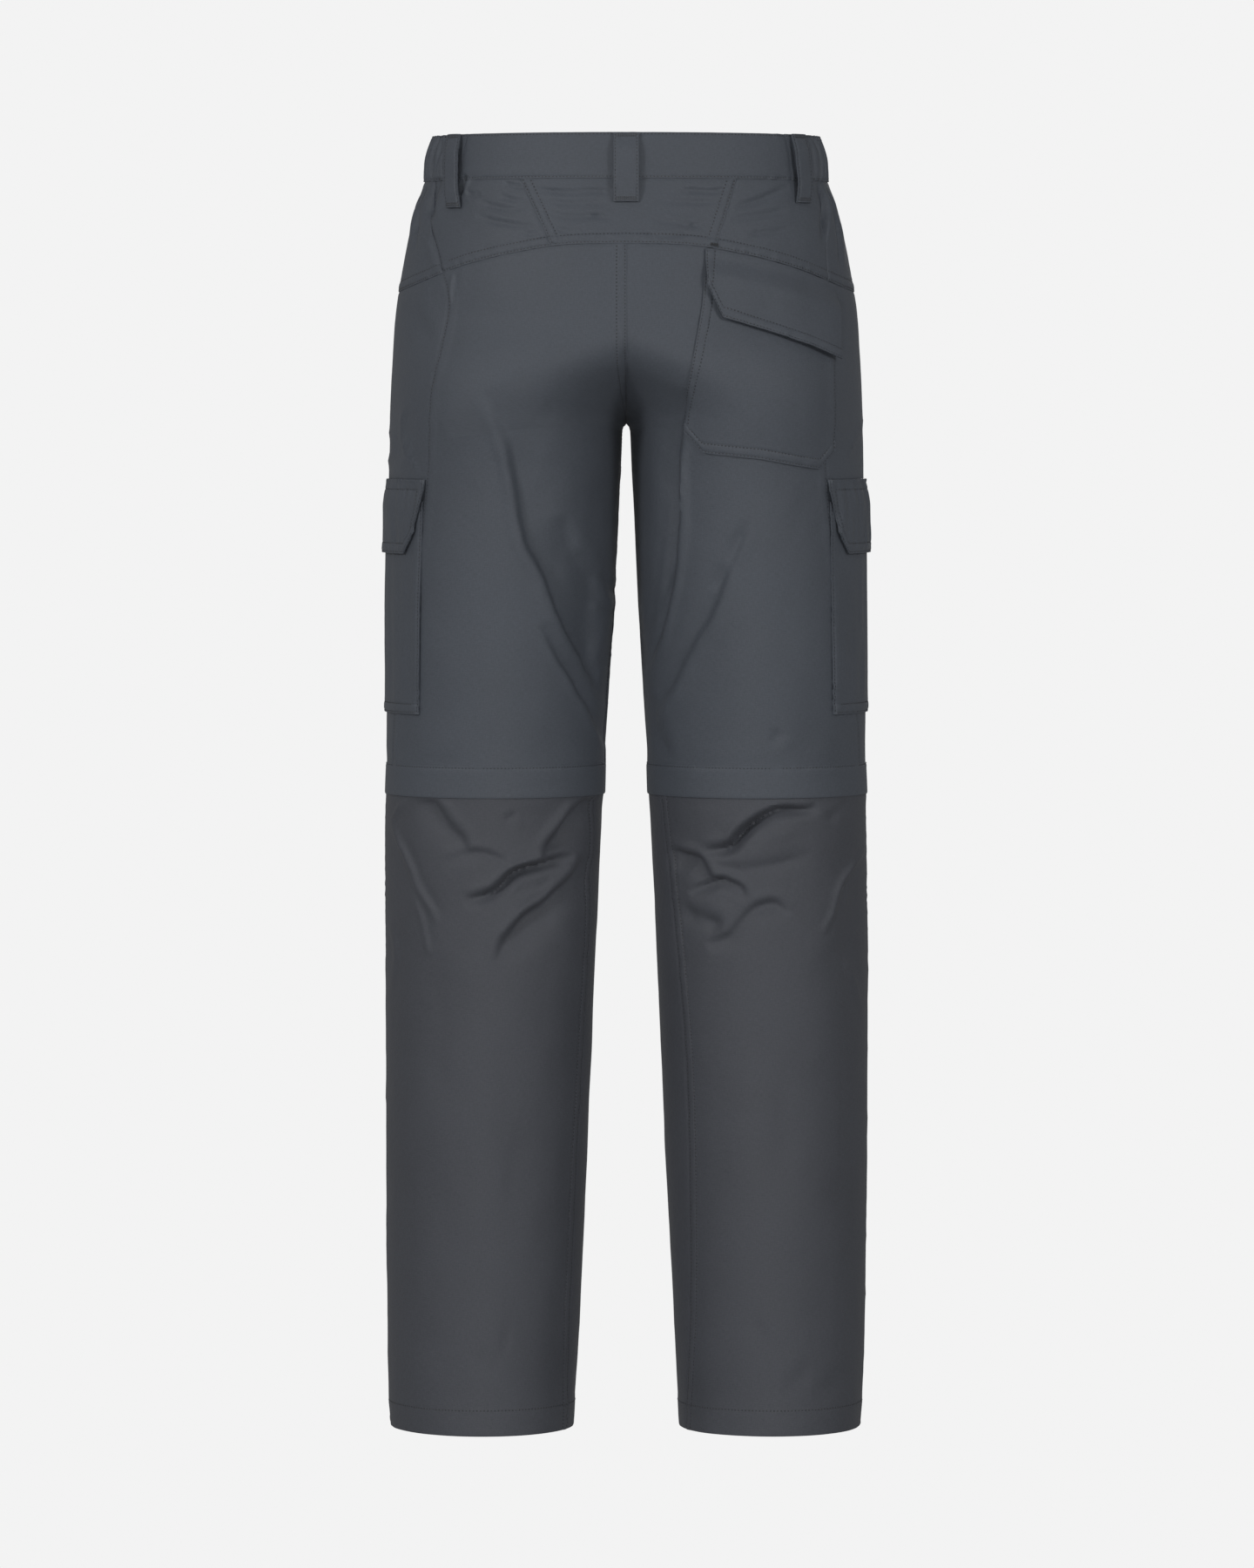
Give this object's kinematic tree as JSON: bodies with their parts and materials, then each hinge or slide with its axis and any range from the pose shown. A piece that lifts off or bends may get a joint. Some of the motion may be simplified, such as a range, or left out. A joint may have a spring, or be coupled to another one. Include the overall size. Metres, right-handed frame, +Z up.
{
  "type": "convertible zip-off trousers",
  "caption": "Hollow worn-form trousers with elastic waist sides, belt loops, a flapped back pocket, cargo pockets and lower legs that zip off under cover bands.",
  "frame": {"origin": "middle of the waist opening, halfway up the waistband", "axes": "+Z up, +X the wearer's right, +Y the front with the fly and -Y the seat"},
  "size_m": [0.3948, 0.2502, 1.0467],
  "materials": {
    "nylon_cloth": "Plain-woven slate grey nylon with a slight sheen, and stitches of the same colour.",
    "zip_tape": "Dark woven zip tape.",
    "button": "Dark grey moulded plastic with a soft shine."
  },
  "bodies": {
    "root": {"back_panel_left": "nylon_cloth", "back_panel_right": "nylon_cloth", "back_pocket": "nylon_cloth", "back_pocket_flap": "nylon_cloth", "belt_loop_back_left": "nylon_cloth", "belt_loop_back_right": "nylon_cloth", "belt_loop_centre_back": "nylon_cloth", "belt_loop_front_left": "nylon_cloth", "belt_loop_front_right": "nylon_cloth", "cargo_flap_left": "nylon_cloth", "cargo_flap_right": "nylon_cloth", "cargo_pocket_left": "nylon_cloth", "cargo_pocket_right": "nylon_cloth", "fly": "nylon_cloth", "front_panel_left": "nylon_cloth", "front_panel_right": "nylon_cloth", "hip_piece_left": "nylon_cloth", "hip_piece_right": "nylon_cloth", "leg_zip_left": "zip_tape", "leg_zip_right": "zip_tape", "lower_leg_back_left": "nylon_cloth", "lower_leg_back_right": "nylon_cloth", "lower_leg_front_left": "nylon_cloth", "lower_leg_front_right": "nylon_cloth", "waist_button": "button", "waistband_back": "nylon_cloth", "waistband_elastic_left": "nylon_cloth", "waistband_elastic_right": "nylon_cloth", "waistband_front_left": "nylon_cloth", "waistband_front_right": "nylon_cloth", "yoke_centre": "nylon_cloth", "yoke_left": "nylon_cloth", "yoke_right": "nylon_cloth", "zip_cover_left": "nylon_cloth", "zip_cover_right": "nylon_cloth"}
  },
  "joints": []
}
